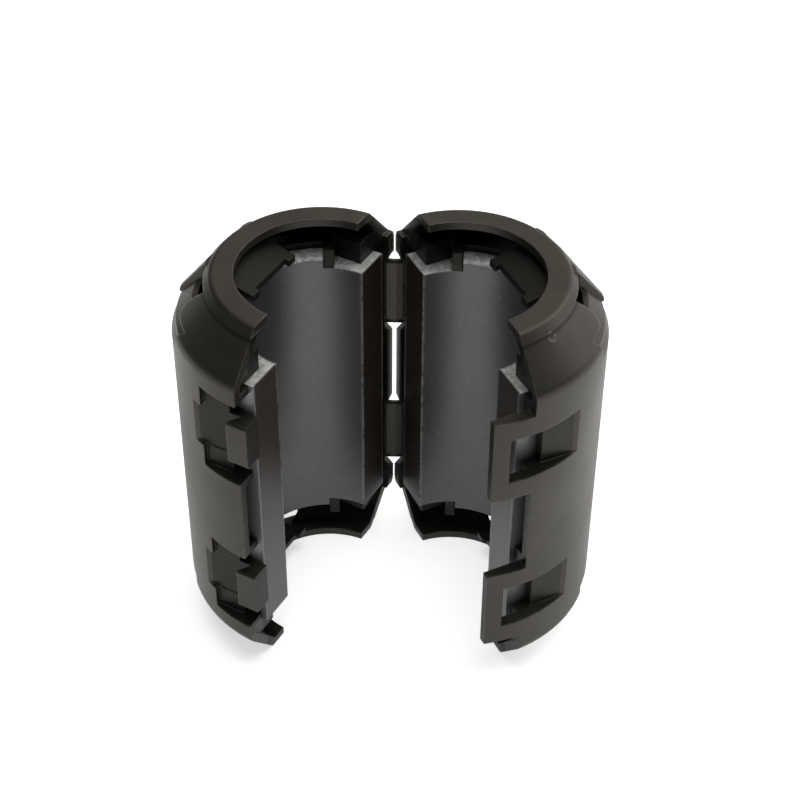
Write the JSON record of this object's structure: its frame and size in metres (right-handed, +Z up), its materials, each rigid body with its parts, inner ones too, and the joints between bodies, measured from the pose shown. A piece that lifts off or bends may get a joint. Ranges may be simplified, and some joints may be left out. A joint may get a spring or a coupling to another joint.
{
  "type": "clip-on ferrite bead",
  "caption": "Clip-on ferrite bead: a split ferrite sleeve in a hinged plastic snap case, standing open on its end.",
  "frame": {"origin": "centre of the bounding box in plan, at the end the part stands on", "axes": "+Z up along the cable axis, +X from the catch half to the latch half, +Y towards the hinge at the back"},
  "size_m": [0.0446, 0.03, 0.0458],
  "materials": {
    "case_plastic": "black moulded nylon, satin",
    "ferrite": "dark grey sintered ferrite, tumbled, with ground mating faces"
  },
  "bodies": {
    "catch_half": {"catch_shell": "case_plastic", "catch_core": "ferrite", "hinge_strap_upper": "case_plastic", "hinge_strap_lower": "case_plastic"},
    "latch_half": {"latch_shell": "case_plastic", "latch_core": "ferrite"}
  },
  "joints": [
    {"name": "case_hinge", "type": "hinge", "parent": "catch_half", "child": "latch_half", "pos_m": [0, 0.0133, 0.0229], "axis": [0, 0, -1], "range_deg": [-64.6, 55.4], "deforming": ["hinge_strap_upper", "hinge_strap_lower"]}
  ]
}
